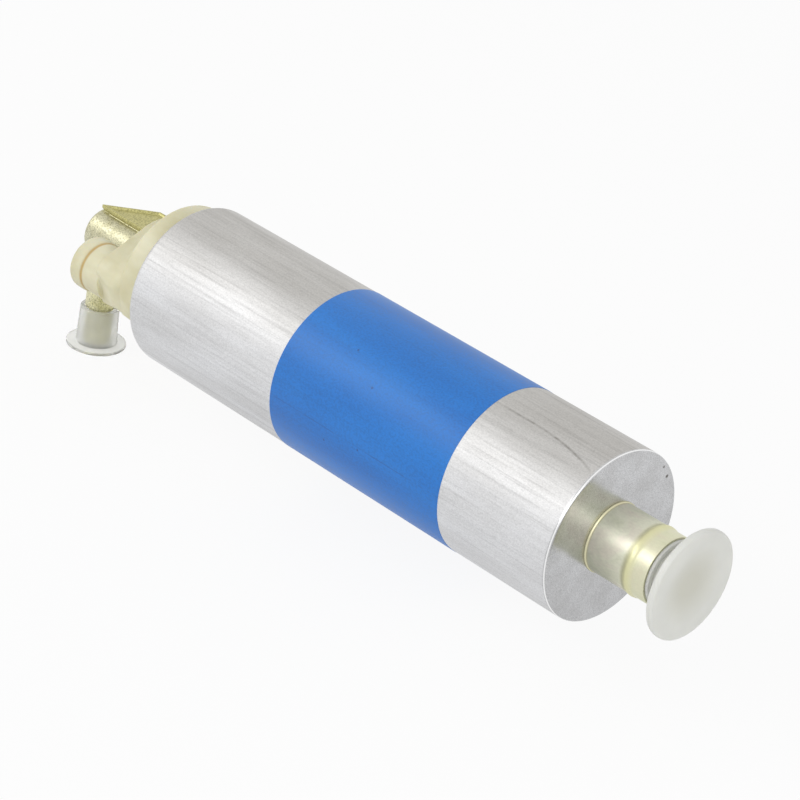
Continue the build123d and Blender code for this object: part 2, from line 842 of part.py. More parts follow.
def make_terminal_stud(side, stud, root, nut_length):
    centre = (side * boss_offset, -boss_drop)
    free_start = collar_floor - washer_length - nut_length - stud_neck_length
    free_end = rod(stud, collar_end - stud_reach, free_start, *centre)
    free_end = chamfer(free_end.edges().filter_by(GeomType.CIRCLE).group_by(Axis.X)[0], stud_tip_chamfer)
    shank = free_end + rod(root, free_start, collar_floor, *centre)
    shank += rod(stud, collar_floor, cover_floor, *centre)
    return shank + rod(stud_head_radius, cover_floor, cover_floor + stud_head_length, *centre)


def make_terminal_washer(side, stud, gap):
    centre = (side * boss_offset, -boss_drop)
    radius = collar_recess_radius - gap
    return tube(radius, stud + slip, collar_floor - washer_length, collar_floor, *centre)


def make_terminal_nut(side, root, half_width, length):
    start = collar_floor - washer_length
    hexagon = RegularPolygon(half_width, nut_sides, major_radius=False) - Circle(root)
    return extrude(across(start - length) * Pos(side * boss_offset, -boss_drop) * hexagon, amount=length)


def make_inlet_transit_plug():
    tip = inlet_face + inlet_length
    shank_radius = inlet_bore - slip
    flange_start = inlet_face + plug_flange_place
    flange_end = flange_start + plug_flange_length
    flange = rod(plug_flange_radius, flange_start, flange_end)
    flange = fillet(flange.edges().filter_by(GeomType.CIRCLE), plug_flange_round)
    plug = flange + rod(shank_radius, tip - plug_shank_length, tip + slip)
    plug += rod(plug_shoulder_radius, tip + slip, tip + slip + plug_shoulder_length)
    plug += rod(plug_neck_radius, tip, flange_start + plug_flange_length / 2)
    plug -= rod(shank_radius - plug_shank_wall, tip - plug_shank_length - cut_overrun, tip)
    plug -= rod(plug_dish_radius, flange_end - plug_dish_depth, flange_end + cut_overrun)
    return plug


def make_outlet_transit_cap():
    floor = leg_end - slip
    base = floor - cap_floor
    cap_bore = leg_pilot_radius + slip
    mouth = Pos(leg_x, 0, -leg_exposed) * Circle(cap_bore + cap_wall)
    root = Pos(leg_x, 0, base + cap_flange_length) * Circle(cap_bore + cap_wall + cap_taper)
    flange = Circle(cap_bore + cap_wall + cap_taper + cap_flange_width)
    flange = extrude(Pos(leg_x, 0, base) * flange, amount=cap_flange_length)
    cap = fillet(flange.edges().filter_by(GeomType.CIRCLE), cap_round)
    cap += loft([root, mouth])
    return cap - extrude(Pos(leg_x, 0, floor) * Circle(cap_bore), amount=leg_pilot_length + cut_overrun)


def nodes():
    """Every separate piece of the pump under its own name."""
    made = {
        "housing_can": make_housing_can(),
        "colour_sleeve": make_colour_sleeve(),
        "inlet_tube": make_inlet_tube(),
        "inlet_gasket": make_inlet_gasket(),
        "spacer_sleeve": make_spacer_sleeve(),
        "strainer_cage": make_strainer_cage(),
        "strainer_mesh": make_strainer_mesh(),
        "pump_inlet_plate": make_pump_inlet_plate(),
        "pump_ring": make_pump_ring(),
        "pump_port_plate": make_pump_port_plate(),
        "pump_screws": make_pump_screws(),
        "inner_rotor": make_inner_rotor(),
        "outer_rotor": make_outer_rotor(),
        "relief_ball": make_relief_ball(),
        "relief_spring": make_relief_spring(),
        "motor_shaft": make_motor_shaft(),
        "drive_bush": make_drive_bush(),
        "tail_bush": make_tail_bush(),
        "armature_core": make_armature_core(),
        "armature_windings": make_armature_windings(),
        "commutator_hub": make_commutator_hub(),
        "commutator_segments": make_commutator_segments(),
        "flux_ring": make_flux_ring(),
        "brush_holder": make_brush_holder(),
        "end_cover": make_end_cover(),
        "cover_seal": make_cover_seal(),
        "outlet_elbow": make_outlet_elbow(),
        "elbow_seal": make_elbow_seal(),
        "valve_seat": make_valve_seat(),
        "valve_retainer": make_valve_retainer(),
        "valve_poppet": make_valve_poppet(),
        "valve_spring": make_valve_spring(),
        "inlet_transit_plug": make_inlet_transit_plug(),
        "outlet_transit_cap": make_outlet_transit_cap(),
    }
    for name, angle in magnet_places.items():
        made["magnet_" + name] = make_magnet(angle)
    for name, angle in clip_places.items():
        made["magnet_clip_" + name] = make_magnet_clip(angle)
    studs = zip(stud_names, stud_sides, stud_radii, stud_root_radii)
    nuts = zip(nut_half_widths, nut_lengths, washer_gaps)
    for (name, side, stud, root), (half_width, nut_length, washer_gap) in zip(studs, nuts):
        made[name + "_brush"] = make_brush(side)
        made[name + "_brush_spring"] = make_brush_spring(side)
        made[name + "_contact_strap"] = make_contact_strap(side)
        made[name + "_stud"] = make_terminal_stud(side, stud, root, nut_length)
        made[name + "_washer"] = make_terminal_washer(side, stud, washer_gap)
        made[name + "_nut"] = make_terminal_nut(side, root, half_width, nut_length)
    return made


os.makedirs("parts", exist_ok=True)
for node, shape in nodes().items():
    solids = shape if isinstance(shape, list) else shape.solids()
    export_step(Compound(children=list(solids)), "parts/" + node + ".step")
    print(node, len(solids), "solids")
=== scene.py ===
import json
from math import cos, hypot, pi, radians, sin, tan

import bmesh
import bpy
from mathutils import Matrix, Vector


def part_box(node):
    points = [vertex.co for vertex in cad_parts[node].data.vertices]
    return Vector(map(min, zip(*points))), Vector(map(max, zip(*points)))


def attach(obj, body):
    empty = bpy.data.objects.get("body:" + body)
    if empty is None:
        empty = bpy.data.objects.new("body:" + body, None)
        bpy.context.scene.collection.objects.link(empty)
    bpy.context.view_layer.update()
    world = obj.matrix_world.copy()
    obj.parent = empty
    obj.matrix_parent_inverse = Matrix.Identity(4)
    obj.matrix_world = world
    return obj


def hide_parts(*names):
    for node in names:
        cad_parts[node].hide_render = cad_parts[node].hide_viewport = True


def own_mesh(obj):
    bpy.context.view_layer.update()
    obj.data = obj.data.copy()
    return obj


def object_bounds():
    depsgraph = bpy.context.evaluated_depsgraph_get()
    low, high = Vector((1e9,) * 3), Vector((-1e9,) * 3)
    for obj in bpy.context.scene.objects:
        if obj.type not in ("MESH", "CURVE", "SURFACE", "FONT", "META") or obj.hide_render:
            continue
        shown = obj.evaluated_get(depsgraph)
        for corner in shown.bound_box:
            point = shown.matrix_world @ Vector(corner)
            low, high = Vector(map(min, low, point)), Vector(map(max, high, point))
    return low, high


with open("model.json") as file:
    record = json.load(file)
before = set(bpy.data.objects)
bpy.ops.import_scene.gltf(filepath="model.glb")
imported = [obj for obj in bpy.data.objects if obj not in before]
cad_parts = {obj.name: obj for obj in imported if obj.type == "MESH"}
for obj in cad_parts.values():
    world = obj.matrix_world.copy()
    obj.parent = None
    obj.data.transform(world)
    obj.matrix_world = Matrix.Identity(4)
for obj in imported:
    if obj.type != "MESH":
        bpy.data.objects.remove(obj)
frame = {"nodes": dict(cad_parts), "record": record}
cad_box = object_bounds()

# Inline electric fuel pump. Sizes are in millimetres and turned into metres where they are used. The
# floor, the lamps and the camera's clipping are in metres.
MM = 0.001
X, Y, Z = range(3)
ROUND_STEPS = 192
CORNER_STEPS = 5
SMOOTH_ANGLE = radians(34)
MERGE_GAP = 0.002
FLAT_GAP = 0.001

# Camera fitted to the photograph
CAMERA_PLACE = (408.34, -460.78, 306.68)
CAMERA_RIGHT = (0.69112, 0.70695, 0.15027)
CAMERA_UP = (-0.41522, 0.21820, 0.88316)
CAMERA_LENS = 129.4
SENSOR_WIDTH = 36


# Meshes

def low(node):
    """Lowest corner of a CAD node, in millimetres."""
    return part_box(node)[0] / MM


def high(node):
    """Highest corner of a CAD node, in millimetres."""
    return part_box(node)[1] / MM


# Places that meshes and materials share
OUTLET_LIP = low("housing_can").x
INLET_FACE = high("housing_can").x
HOSE_BEAD = INLET_FACE + 12.3
PLUG_END = (high("inlet_transit_plug").x, 0, 0)


def rounded(outline):
    """Outline points (along, radius[, corner radius]) with their corners rounded."""
    points = []
    count = len(outline)
    for i, point in enumerate(outline):
        corner = Vector(point[:2])
        size = point[2] if len(point) > 2 else 0
        if not size:
            points.append(corner)
            continue
        before = (Vector(outline[i - 1][:2]) - corner).normalized()
        after = (Vector(outline[(i + 1) % count][:2]) - corner).normalized()
        for step in range(CORNER_STEPS + 1):
            t = step / CORNER_STEPS
            near = corner + before * size * (1 - t) ** 2 + after * size * t**2
            points.append(near)
    return points


def mesh_from(name, verts, faces):
    """Closed mesh in metres from points in millimetres."""
    mesh = bpy.data.meshes.new(name)
    mesh.from_pydata([Vector(v) * MM for v in verts], [], faces)
    work = bmesh.new()
    work.from_mesh(mesh)
    bmesh.ops.remove_doubles(work, verts=work.verts, dist=MERGE_GAP * MM)
    bmesh.ops.dissolve_degenerate(work, edges=work.edges, dist=FLAT_GAP * MM)
    bmesh.ops.recalc_face_normals(work, faces=work.faces)
    work.to_mesh(mesh)
    work.free()
    return mesh


def turned_mesh(name, outline, place=(0, 0, 0), down=False, steps=ROUND_STEPS):
    """Closed outline turned about a line along X, or about an upright line with along counted down."""
    points = rounded(outline)
    size = len(points)
    verts = []
    faces = []
    for j in range(steps):
        angle = 2 * pi * j / steps
        for along, radius in points:
            a, b = radius * cos(angle), radius * sin(angle)
            local = (a, b, -along) if down else (along, a, b)
            verts.append(tuple(p + q for p, q in zip(place, local)))
        k = (j + 1) % steps
        for i in range(size):
            n = (i + 1) % size
            faces.append((j * size + i, j * size + n, k * size + n, k * size + i))
    return mesh_from(name, verts, faces)


def screw_mesh(name, rows, place, pitch, depth, steps=48):
    """Bar along X from rows of (x, radius, threaded), closed at both ends."""
    rows_per_pitch = 8
    fine = []
    for (x, radius, threaded), (x_next, radius_next, _) in zip(rows, rows[1:]):
        count = max(1, round(abs(x_next - x) / pitch * rows_per_pitch)) if threaded else 1
        for i in range(count):
            t = i / count
            fine.append((x + (x_next - x) * t, radius + (radius_next - radius) * t, threaded))
    fine.append(rows[-1])
    verts = []
    faces = []
    for x, radius, threaded in fine:
        for j in range(steps):
            turn = j / steps
            cut = abs(((x / pitch + turn) % 1) * 2 - 1) * depth if threaded else 0
            angle = 2 * pi * turn
            y = place[0] + (radius - cut) * cos(angle)
            z = place[1] + (radius - cut) * sin(angle)
            verts.append((x, y, z))
    for i in range(len(fine) - 1):
        for j in range(steps):
            k = (j + 1) % steps
            faces.append((i * steps + j, i * steps + k, (i + 1) * steps + k, (i + 1) * steps + j))
    faces.append(tuple(range(steps)))
    faces.append(tuple(range(len(verts) - steps, len(verts))))
    return mesh_from(name, verts, faces)


def nut_mesh(name, start, end, half_width, bore, place, steps=96):
    """Hexagon nut with its corners turned down on the outer face and a countersunk bore."""
    verts = []
    faces = []
    chamfer = 0.3
    crown, crown_slope = half_width * 0.97, tan(radians(30))
    for j in range(steps):
        angle = 2 * pi * j / steps
        around = (angle + pi / 6) % (pi / 3) - pi / 6
        corner = half_width / cos(around)
        drop = (corner - crown) * crown_slope
        ring = (
            (start, bore + chamfer), (start, crown), (start + drop, corner),
            (end, corner), (end, bore), (start + chamfer, bore),
        )
        for x, radius in ring:
            verts.append((x, place[0] + radius * cos(angle), place[1] + radius * sin(angle)))
        k = (j + 1) % steps
        size = len(ring)
        for i in range(size):
            n = (i + 1) % size
            faces.append((j * size + i, j * size + n, k * size + n, k * size + i))
    return mesh_from(name, verts, faces)


def remade_mesh(node, voxel, rounds):
    """A CAD node's form with every edge softened, as moulding or plating leaves it."""
    source = frame["nodes"][node]
    work = bpy.data.objects.new(node + "_work", source.data.copy())
    bpy.context.scene.collection.objects.link(work)
    remesh = work.modifiers.new("remesh", "REMESH")
    remesh.mode = "VOXEL"
    remesh.voxel_size = voxel * MM
    remesh.adaptivity = 0
    smooth = work.modifiers.new("smooth", "SMOOTH")
    smooth.factor = 0.5
    smooth.iterations = rounds
    graph = bpy.context.evaluated_depsgraph_get()
    mesh = bpy.data.meshes.new_from_object(work.evaluated_get(graph))
    bpy.data.objects.remove(work)
    return mesh


# Materials

class Nodes:
    """A material's node tree, written as a chain of small steps."""

    def __init__(self, name):
        self.material = bpy.data.materials.new(name)
        self.material.use_nodes = True
        self.tree = self.material.node_tree
        self.shader = self.tree.nodes["Principled BSDF"]
        self.place = self.add("ShaderNodeTexCoord").outputs["Object"]

    def add(self, kind, **settings):
        node = self.tree.nodes.new(kind)
        for key, value in settings.items():
            setattr(node, key, value)
        return node

    def link(self, output, socket):
        self.tree.links.new(output, socket)

    def scaled(self, x, y, z):
        """Object coordinates in repeats per millimetre along each axis."""
        node = self.add("ShaderNodeMapping")
        node.inputs["Scale"].default_value = (x / MM, y / MM, z / MM)
        self.link(self.place, node.inputs["Vector"])
        return node.outputs["Vector"]

    def noise(self, scale, detail=4.0, roughness=0.55, distortion=0.0):
        node = self.add("ShaderNodeTexNoise")
        self.link(self.scaled(*scale), node.inputs["Vector"])
        node.inputs["Scale"].default_value = 1
        node.inputs["Detail"].default_value = detail
        node.inputs["Roughness"].default_value = roughness
        node.inputs["Distortion"].default_value = distortion
        return node.outputs["Fac"]

    def ramp(self, value, *stops):
        """Colours at places from 0 to 1."""
        node = self.add("ShaderNodeValToRGB")
        elements = node.color_ramp.elements
        while len(elements) < len(stops):
            elements.new(0.5)
        for element, (place, colour) in zip(elements, stops):
            element.position = place
            element.color = (*colour, 1) if isinstance(colour, tuple) else (colour, colour, colour, 1)
        self.link(value, node.inputs["Fac"])
        return node.outputs["Color"]

    def mix(self, amount, first, second, blend="MIX"):
        node = self.add("ShaderNodeMix", data_type="RGBA", blend_type=blend)
        for value, socket in ((amount, 0), (first, 6), (second, 7)):
            if isinstance(value, (int, float)):
                node.inputs[socket].default_value = value
            elif isinstance(value, tuple):
                node.inputs[socket].default_value = (*value, 1)
            else:
                self.link(value, node.inputs[socket])
        return node.outputs[2]

    def ranged(self, value, low_in, high_in, low_out, high_out):
        node = self.add("ShaderNodeMapRange")
        names = ("From Min", "From Max", "To Min", "To Max")
        for key, number in zip(names, (low_in, high_in, low_out, high_out)):
            node.inputs[key].default_value = number
        self.link(value, node.inputs["Value"])
        return node.outputs["Result"]

    def axis(self, index):
        """One object coordinate, in metres."""
        node = self.add("ShaderNodeSeparateXYZ")
        self.link(self.place, node.inputs[0])
        return node.outputs[index]

    def rise(self, index, start, end):
        """0 below start and 1 above end along one axis, in millimetres."""
        return self.ranged(self.axis(index), start * MM, end * MM, 0, 1)

    def fall(self, index, start, end):
        """1 below start and 0 above end along one axis, in millimetres."""
        return self.ranged(self.axis(index), start * MM, end * MM, 1, 0)

    def math(self, operation, first, second):
        node = self.add("ShaderNodeMath", operation=operation)
        for value, socket in ((first, 0), (second, 1)):
            if isinstance(value, (int, float)):
                node.inputs[socket].default_value = value
            else:
                self.link(value, node.inputs[socket])
        return node.outputs[0]

    def times(self, first, *others):
        for other in others:
            first = self.math("MULTIPLY", first, other)
        return first

    def off_line(self, index, line, inner, outer):
        """1 within inner millimetres of a place in metres along one axis, 0 beyond outer."""
        off = self.math("ABSOLUTE", self.math("SUBTRACT", self.axis(index), line), 0)
        return self.ranged(off, inner * MM, outer * MM, 1, 0)

    def near(self, point, inner, outer):
        """1 within inner millimetres of a point, 0 beyond outer."""
        node = self.add("ShaderNodeVectorMath", operation="DISTANCE")
        self.link(self.place, node.inputs[0])
        node.inputs[1].default_value = tuple(v * MM for v in point)
        return self.ranged(node.outputs["Value"], inner * MM, outer * MM, 1, 0)

    def bump(self, height, strength, distance):
        node = self.add("ShaderNodeBump")
        node.inputs["Strength"].default_value = strength
        node.inputs["Distance"].default_value = distance * MM
        self.link(height, node.inputs["Height"])
        if self.shader.inputs["Normal"].links:
            self.link(self.shader.inputs["Normal"].links[0].from_socket, node.inputs["Normal"])
        self.link(node.outputs["Normal"], self.shader.inputs["Normal"])

    def put(self, **sockets):
        """Sets or links the shader's own sockets."""
        for key, value in sockets.items():
            socket = self.shader.inputs[key.replace("_", " ")]
            if isinstance(value, (int, float)):
                socket.default_value = value
            elif isinstance(value, tuple):
                socket.default_value = (*value, 1) if socket.type == "RGBA" else value
            else:
                self.link(value, socket)


def grey(level, blue=None):
    return (level, level, level if blue is None else blue)


def scratch(m):
    """Where a long curved scratch runs on the wall near the inlet end."""
    place, swing = -7.2 * MM, 3.1 * MM
    bend = m.math("POWER", m.rise(X, 50.0, 70.6), 2.0)
    line = m.math("SUBTRACT", place, m.times(bend, swing))
    patchy = m.ranged(m.noise((0.5, 0.5, 0.5), detail=2), 0.4, 0.6, 0.5, 1)
    ends = m.rise(X, 36.0, 44.0), m.fall(X, 66.0, 71.5)
    return m.times(m.off_line(Y, line, 0.04, 0.45), *ends, patchy, m.rise(Z, 10.0, 12.0))


def drawn_alloy():
    """Drawn aluminium: satin, with lengthwise streaks, an upper side darkened with painted shade and a
    turned end face.
    """
    m = Nodes("alloy_drawn")
    streaks = m.noise((0.03, 1.5, 1.5), detail=6, roughness=0.7)
    broad = m.noise((0.03, 0.16, 0.16), detail=3)
    grains = m.noise((2.2, 3.2, 3.2), detail=3, roughness=0.7)
    tone = m.ramp(broad, (0.32, (0.69, 0.69, 0.695)), (0.68, (0.80, 0.805, 0.82)))
    tone = m.mix(0.4, tone, m.ramp(streaks, (0.3, 0.6), (0.5, 0.95), (0.72, 1.0)), "MULTIPLY")
    tone = m.mix(0.45, tone, m.ramp(grains, (0.32, 0.6), (0.62, 1.0)), "MULTIPLY")
    # painted shade: the upper side of the wall is painted darker and browner, as the light falls
    painted_top_shade = m.ramp(m.rise(Z, 6.0, 21.0), (0.0, 1.0), (1.0, (0.75, 0.73, 0.69)))
    wall = m.mix(1.0, tone, painted_top_shade, "MULTIPLY")
    wall = m.mix(m.times(scratch(m), 0.75), wall, (0.22, 0.21, 0.19))
    # painted light and shade: the turned end face is painted darker towards the bottom and lighter towards
    # the top
    turned = m.mix(1.0, tone, m.ramp(m.rise(Z, -20.0, 20.0), (0.0, 0.74), (1.0, 0.84)), "MULTIPLY")
    turned = m.mix(0.5, turned, m.ramp(grains, (0.35, 0.75), (0.6, 1.0)), "MULTIPLY")
    nicks = (14.2, 14.2, 0.1, 0.45), (16.1, 11.3, 0.2, 0.6)
    for y, z, inner, outer in nicks:
        turned = m.mix(m.near((INLET_FACE, y, z), inner, outer), turned, (0.10, 0.09, 0.08))
    face = m.rise(X, INLET_FACE - 0.9, INLET_FACE - 0.5)
    tone = m.mix(face, wall, turned)
    # painted highlight: the edge between wall and face is painted as a bright grey ring
    edge = m.rise(X, INLET_FACE - 0.9, INLET_FACE + 0.1)
    edge = m.ramp(edge, (0.4, 0.0), (0.5, 1.0), (0.68, 1.0), (0.78, 0.0))
    tone = m.mix(edge, tone, grey(0.88))
    satin = m.ranged(streaks, 0.3, 0.7, 0.60, 0.49)
    m.put(Base_Color=tone, Metallic=1.0, Roughness=m.mix(face, satin, grey(0.2)))
    m.bump(streaks, 0.12, 0.04)
    m.bump(grains, 0.2, 0.02)
    return m.material


def blue_finish():
    """Blue band: satin lacquer with a faint grain, a few pinholes and a hairline scratch."""
    m = Nodes("blue_lacquer")
    broad = m.noise((0.02, 0.1, 0.1), detail=3)
    fine = m.noise((1.6, 2.4, 2.4), detail=3)
    hair = m.noise((0.02, 1.2, 1.2), detail=5, roughness=0.65)
    tone = m.ramp(broad, (0.3, (0.004, 0.155, 0.55)), (0.7, (0.010, 0.20, 0.65)))
    tone = m.mix(0.3, tone, m.ramp(hair, (0.28, 0.72), (0.5, 1.0)), "MULTIPLY")
    tone = m.mix(0.5, tone, m.ramp(fine, (0.32, 0.6), (0.6, 1.0)), "MULTIPLY")
    pinholes = (9.4, -17.4, 12.7), (0.3, -21.1, -4.4), (11.7, -21.5, -1.5), (-0.6, -13.2, 17.05)
    for place in pinholes:
        tone = m.mix(m.near(place, 0.1, 0.4), tone, (0.01, 0.06, 0.22))
    height, strength = -0.9 * MM, 0.6
    hairline = m.times(m.off_line(Z, height, 0.03, 0.22), strength, m.fall(Y, -20.0, -19.0))
    patchy = m.ranged(m.noise((0.15, 0.3, 0.3), detail=2), 0.42, 0.55, 0.2, 1)
    tone = m.mix(m.times(hairline, patchy), tone, (0.01, 0.08, 0.30))
    m.put(Base_Color=tone, Metallic=0.0, Roughness=m.ranged(fine, 0.3, 0.7, 0.38, 0.48))
    m.put(Specular_IOR_Level=0.55)
    m.bump(fine, 0.1, 0.02)
    return m.material


def pale_plating():
    """Zinc plating with a pale green and gold sheen."""
    m = Nodes("pale_plating")
    sheen = m.noise((0.12, 0.2, 0.2), detail=3, distortion=0.6)
    fine = m.noise((1.2, 2.0, 2.0), detail=4)
    tone = m.ramp(sheen, (0.3, (0.64, 0.66, 0.50)), (0.5, (0.75, 0.75, 0.61)), (0.7, (0.73, 0.68, 0.58)))
    tone = m.mix(0.4, tone, m.ramp(fine, (0.3, 0.72), (0.7, 1.0)), "MULTIPLY")
    # the tube is painted yellower round the hose bead, and darker and yellower at the root, where painted
    # shade marks the tube meeting the can face
    bead = m.rise(X, HOSE_BEAD - 2.0, HOSE_BEAD + 2.0)
    bead = m.ramp(bead, (0.0, 0.0), (0.4, 0.75), (0.6, 0.75), (1.0, 0.3))
    tone = m.mix(bead, tone, (0.68, 0.66, 0.36))
    # painted shade: darker at the root, where the tube meets the can face
    painted_root_shade = m.ramp(m.rise(X, INLET_FACE, INLET_FACE + 1.0), (0.0, 0.7), (0.6, 0.6), (1.0, 0.0))
    tone = m.mix(painted_root_shade, tone, (0.62, 0.58, 0.34))
    m.put(Base_Color=tone, Metallic=1.0, Roughness=m.ranged(fine, 0.3, 0.7, 0.34, 0.46))
    m.bump(fine, 0.12, 0.03)
    return m.material


def yellow_plating():
    """Yellow zinc plating on a rough turned part."""
    m = Nodes("yellow_plating")
    grain = m.noise((2.6, 2.6, 2.6), detail=5, roughness=0.7)
    patches = m.noise((0.22, 0.22, 0.22), detail=4)
    light = (0.88, 0.86, 0.62)
    tone = m.ramp(patches, (0.3, (0.52, 0.49, 0.23)), (0.52, (0.78, 0.75, 0.47)), (0.72, light))
    # the head is paler than the leg, and the plate above it is painted darker as painted shade
    pale = m.ramp(patches, (0.3, (0.52, 0.49, 0.30)), (0.7, (0.72, 0.70, 0.51)))
    tone = m.mix(m.rise(Z, -6.8, -5.0), tone, pale)
    # painted shade on the plate above the head
    tone = m.mix(m.rise(Z, 6.2, 7.0), tone, (0.58, 0.54, 0.235))
    tone = m.mix(0.8, tone, m.ramp(grain, (0.34, 0.26), (0.52, 0.9), (0.68, 1.0)), "MULTIPLY")
    m.put(Base_Color=tone, Metallic=1.0, Roughness=m.ranged(grain, 0.3, 0.7, 0.5, 0.32))
    m.bump(grain, 0.4, 0.05)
    return m.material


def cream_nylon():
    """Natural nylon: cream, cloudy and a little translucent."""
    m = Nodes("cream_nylon")
    cloud = m.noise((0.09, 0.12, 0.12), detail=3)
    fine = m.noise((1.8, 1.8, 1.8), detail=4)
    tone = m.ramp(cloud, (0.3, (0.61, 0.57, 0.355)), (0.65, (0.74, 0.71, 0.51)))
    # painted shade: a brown line where each terminal boss meets its collar stands for the shadow in the
    # groove between them
    painted_groove_shade = (0.76, 0.56, 0.30)
    line = m.ramp(m.rise(X, -93.0, -91.5), (0.0, 1.0), (0.3, painted_groove_shade), (0.5, painted_groove_shade), (0.8, 1.0))
    tone = m.mix(1.0, tone, line, "MULTIPLY")
    m.put(Base_Color=tone, Roughness=m.ranged(fine, 0.3, 0.7, 0.40, 0.52), Subsurface_Weight=0.25)
    m.put(Subsurface_Radius=(1.0, 0.75, 0.4), Subsurface_Scale=1.5 * MM)
    m.bump(fine, 0.15, 0.03)
    return m.material


def soft_plastic(name, colour, see_through, roughness, ior=1.5, middle=None):
    """Thin polythene that lets light through, with painted shade darkening the middle of a flange where
    one is given.
    """
    m = Nodes(name)
    spread = 0.05
    cloud = m.noise((0.1, 0.14, 0.14), detail=3)
    fine = m.noise((1.1, 1.1, 1.1), detail=4)
    dull = tuple(c * 0.94 for c in colour)
    tone = m.ramp(cloud, (0.3, dull), (0.7, colour))
    if middle:
        # painted shade in the dished middle of the flange
        tone = m.mix(m.near(middle, 3.0, 10.0), tone, (0.69, 0.685, 0.60))
    m.put(Base_Color=tone, Roughness=m.ranged(fine, 0.3, 0.7, roughness - spread, roughness + spread))
    m.put(Transmission_Weight=see_through, IOR=ior, Subsurface_Weight=0.35)
    m.put(Subsurface_Radius=(1.0, 1.0, 0.9), Subsurface_Scale=2.0 * MM)
    m.bump(fine, 0.06, 0.02)
    return m.material


def inner_finish(name, first, second, metallic, rough, scale):
    """Finish of the terminals and the pieces inside: two close tones with a fine grain."""
    m = Nodes(name)
    grain = m.noise(scale, detail=4)
    m.put(Base_Color=m.ramp(grain, (0.3, first), (0.7, second)), Metallic=metallic)
    m.put(Roughness=m.ranged(grain, 0.3, 0.7, rough, rough + 0.15))
    m.bump(grain, 0.15, 0.03)
    return m.material


FINISHES = {
    "alloy": drawn_alloy(),
    "blue_band": blue_finish(),
    "plated_steel": pale_plating(),
    "yellow_plating": yellow_plating(),
    "cream_nylon": cream_nylon(),
    # the plug's flange gets painted shade round its middle
    "white_plastic": soft_plastic("white_polythene", (0.82, 0.825, 0.78), 0.12, 0.42, middle=PLUG_END),
    "clear_plastic": soft_plastic("clear_polythene", (0.95, 0.955, 0.92), 0.75, 0.22, 1.2),
    "black_rubber": inner_finish("black_rubber", grey(0.015), grey(0.035), 0, 0.6, (2, 2, 2)),
    "black_plastic": inner_finish("black_moulding", grey(0.02), grey(0.05), 0, 0.4, (1, 1, 1)),
    "bright_steel": inner_finish("bright_steel", grey(0.52, 0.54), grey(0.7, 0.71), 1, 0.22, (0.3, 3, 3)),
    "dark_iron": inner_finish("dark_iron", grey(0.2, 0.21), grey(0.33), 1, 0.38, (1.5, 1.5, 1.5)),
    "ferrite": inner_finish("ferrite", grey(0.06, 0.065), grey(0.11), 0.3, 0.55, (2, 2, 2)),
    "bronze": inner_finish("bronze", (0.52, 0.35, 0.14), (0.72, 0.52, 0.25), 1, 0.3, (0.6, 2, 2)),
    "copper": inner_finish("copper", (0.58, 0.25, 0.11), (0.80, 0.42, 0.22), 1, 0.28, (0.4, 3, 3)),
}


def dress_cad_nodes():
    """Every CAD node gets the finish of its slot in the record."""
    for part in frame["record"]["subparts"]:
        node = frame["nodes"][part["node"]]
        node.data.materials.clear()
        node.data.materials.append(FINISHES[part["material_slot"]])


# Pieces that stand in for CAD nodes

def piece(name, mesh, body, node, slot):
    """Puts a mesh in the scene in place of the CAD node that it stands for, in the finish of its slot."""
    mesh.materials.clear()
    mesh.materials.append(FINISHES[slot])
    for polygon in mesh.polygons:
        polygon.use_smooth = True
    mesh.set_sharp_from_angle(angle=SMOOTH_ANGLE)
    made = bpy.data.objects.new(name, mesh)
    bpy.context.scene.collection.objects.link(made)
    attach(made, body)
    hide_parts(node)
    return made


def make_can():
    start, end, outer = OUTLET_LIP, INLET_FACE, high("housing_can").z
    wall, floor, lip_length, lip_width, hole = 1.2, 1.6, 1.2, 1.6, 8.75
    lip_round, edge_round = 1.5, 0.6
    inner, lip = outer - wall, outer - wall - lip_width
    outline = [
        (start, lip), (start, outer, lip_round), (end, outer, edge_round), (end, hole),
        (end - floor, hole), (end - floor, inner), (start + lip_length, inner), (start + lip_length, lip),
    ]
    mesh = turned_mesh("can_shell", outline)
    piece("can_shell", mesh, "pump_body", "housing_can", "alloy")


def make_band():
    sunk, border = 0.08, 0.04
    start, end, outer = low("colour_sleeve").x, high("colour_sleeve").x, high("colour_sleeve").z - sunk
    inner = high("housing_can").z
    outline = [(start, inner), (start, outer, border), (end, outer, border), (end, inner)]
    mesh = turned_mesh("blue_band", outline)
    piece("blue_band", mesh, "pump_body", "colour_sleeve", "blue_band")


def make_inlet():
    start, tip = low("inlet_tube").x, high("inlet_tube").x
    face, bead = INLET_FACE, HOSE_BEAD
    radius, end_radius, bore, flange, thick, chamfer, ring = 8.7, 8.6, 7.2, 12.0, 1.6, 0.8, 0.25
    # distance from the bead's middle, height over the tube and corner radius
    bead_rows = ((-1.4, 0, 0.5), (-0.7, 0.18, 0.3), (0, 0.28, 0.3), (0.7, 0.16, 0.3), (1.3, -0.1, 0.3))
    outline = [
        (start, bore), (start, flange, 0.2), (start + thick, flange, 0.2), (start + thick, radius),
        (face, radius), (face, radius + ring, 0.08), (face + ring, radius + ring, 0.1),
        (face + 2 * ring, radius, 0.1),
        *((bead + along, radius + height, corner) for along, height, corner in bead_rows),
        (tip, end_radius, 0.15), (tip, bore + chamfer), (tip - chamfer, bore, 0.2),
    ]
    mesh = turned_mesh("inlet_spigot", outline)
    piece("inlet_spigot", mesh, "pump_body", "inlet_tube", "plated_steel")


